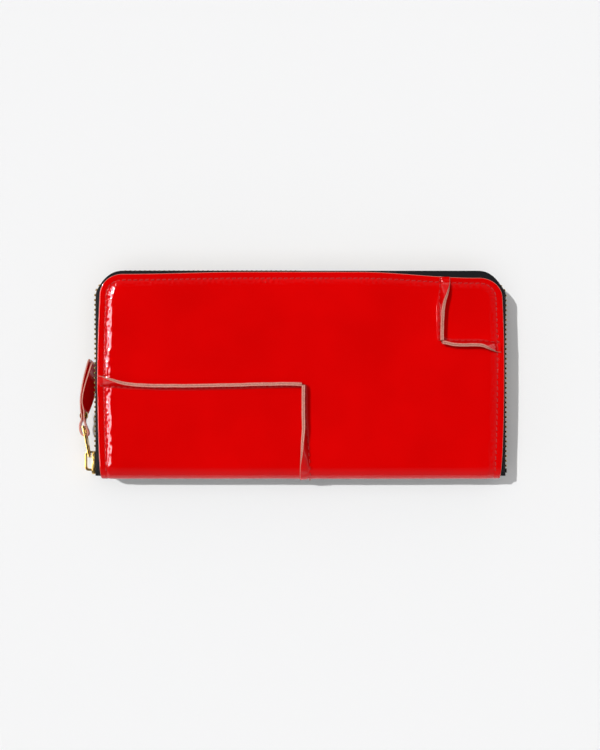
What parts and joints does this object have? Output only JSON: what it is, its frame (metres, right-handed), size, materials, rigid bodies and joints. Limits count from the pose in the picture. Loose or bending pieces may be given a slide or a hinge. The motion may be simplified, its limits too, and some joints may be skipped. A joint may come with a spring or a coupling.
{
  "type": "zip around wallet",
  "caption": "Long flat wallet closed by a zip round three sides, with raised seams on its front, a strap pull, card slots and a zipped coin pocket.",
  "frame": {"origin": "centre of the outline of the back cover's outer face, which the closed wallet lies on", "axes": "+X along the spine, towards the end away from the zip's slider; +Y from the spine to the far zip run; +Z from the back cover up to the front cover"},
  "size_m": [0.2117, 0.1022, 0.0288],
  "materials": {
    "patent_leather": "high gloss patent, red",
    "inner_leather": "fine-grained satin, black",
    "lining": "twill, black",
    "board": "matt stiffener sheet",
    "zip_tape": "woven, black",
    "polished_brass": "polished",
    "red_thread": "twisted thread"
  },
  "bodies": {
    "back_cover": {"back_leather_panel": "patent_leather", "back_stiffener_board": "board", "back_cover_lining": "lining", "back_edge_stitching": "red_thread", "back_zip_tape": "zip_tape", "back_zip_teeth": "polished_brass", "back_zip_stop": "polished_brass", "back_card_backing": "inner_leather", "back_card_slot_1": "inner_leather", "back_card_slot_2": "inner_leather", "back_card_slot_3": "inner_leather", "back_card_slot_4": "inner_leather", "left_back_gusset": "inner_leather", "right_back_gusset": "inner_leather"},
    "centre": {"spine_main_leather": "patent_leather", "spine_patch_leather": "patent_leather", "spine_lining": "lining", "coin_pocket_leather": "inner_leather", "coin_zip_tape_back": "zip_tape", "coin_zip_tape_front": "zip_tape", "coin_zip_teeth_back": "polished_brass", "coin_zip_teeth_front": "polished_brass", "left_front_gusset": "inner_leather", "right_front_gusset": "inner_leather"},
    "front_cover": {"front_main_leather": "patent_leather", "front_low_patch_leather": "patent_leather", "front_high_patch_leather": "patent_leather", "front_edge_stitching": "red_thread", "raised_seam_stitching": "red_thread", "front_stiffener_board": "board", "front_cover_lining": "lining", "front_zip_tape": "zip_tape", "front_zip_teeth": "polished_brass", "front_zip_stop": "polished_brass", "front_card_backing": "inner_leather", "front_card_slot_1": "inner_leather", "front_card_slot_2": "inner_leather", "front_card_slot_3": "inner_leather", "front_card_slot_4": "inner_leather"},
    "zip_slider": {"zip_slider_body": "polished_brass", "zip_slider_crown": "polished_brass"},
    "zip_pull": {"zip_pull_link": "polished_brass"},
    "puller": {"zip_pull_strap": "patent_leather", "zip_pull_rivet": "polished_brass"},
    "coin_slider": {"coin_slider_body": "polished_brass", "coin_slider_crown": "polished_brass"},
    "coin_zip_pull": {"coin_pull": "polished_brass"}
  },
  "joints": [
    {"name": "spine_fold", "type": "hinge", "parent": "back_cover", "child": "centre", "pos_m": [0, -0.0494, 0.002], "axis": [1, 0, 0], "range_deg": [0, 35], "deforming": ["left_back_gusset", "right_back_gusset"]},
    {"name": "front_fold", "type": "hinge", "parent": "centre", "child": "front_cover", "pos_m": [0, -0.0494, 0.022], "axis": [1, 0, 0], "range_deg": [0, 35], "deforming": ["left_front_gusset", "right_front_gusset"]},
    {"name": "zip_slide", "type": "slide", "parent": "back_cover", "child": "zip_slider", "axis": [0, 1, 0], "range_m": [0, 0.075]},
    {"name": "pull_swing", "type": "hinge", "parent": "zip_slider", "child": "zip_pull", "pos_m": [-0.10465, -0.0406, 0.012], "axis": [0, 0.1478, 0.989], "range_deg": [0, 120]},
    {"name": "puller_swing", "type": "hinge", "parent": "zip_pull", "child": "puller", "pos_m": [-0.10775, -0.02619, 0.00985], "axis": [0, 0.1478, 0.989], "range_deg": [0, 50]},
    {"name": "coin_zip_slide", "type": "slide", "parent": "centre", "child": "coin_slider", "axis": [1, 0, 0], "range_m": [0, 0.148]},
    {"name": "coin_pull_swing", "type": "hinge", "parent": "coin_slider", "child": "coin_zip_pull", "pos_m": [-0.07625, 0.0372, 0.012], "axis": [0, 0, 1], "range_deg": [0, 170]}
  ],
  "couplings": [
    {"joint": "front_fold", "follows": "spine_fold", "ratio": 1}
  ]
}
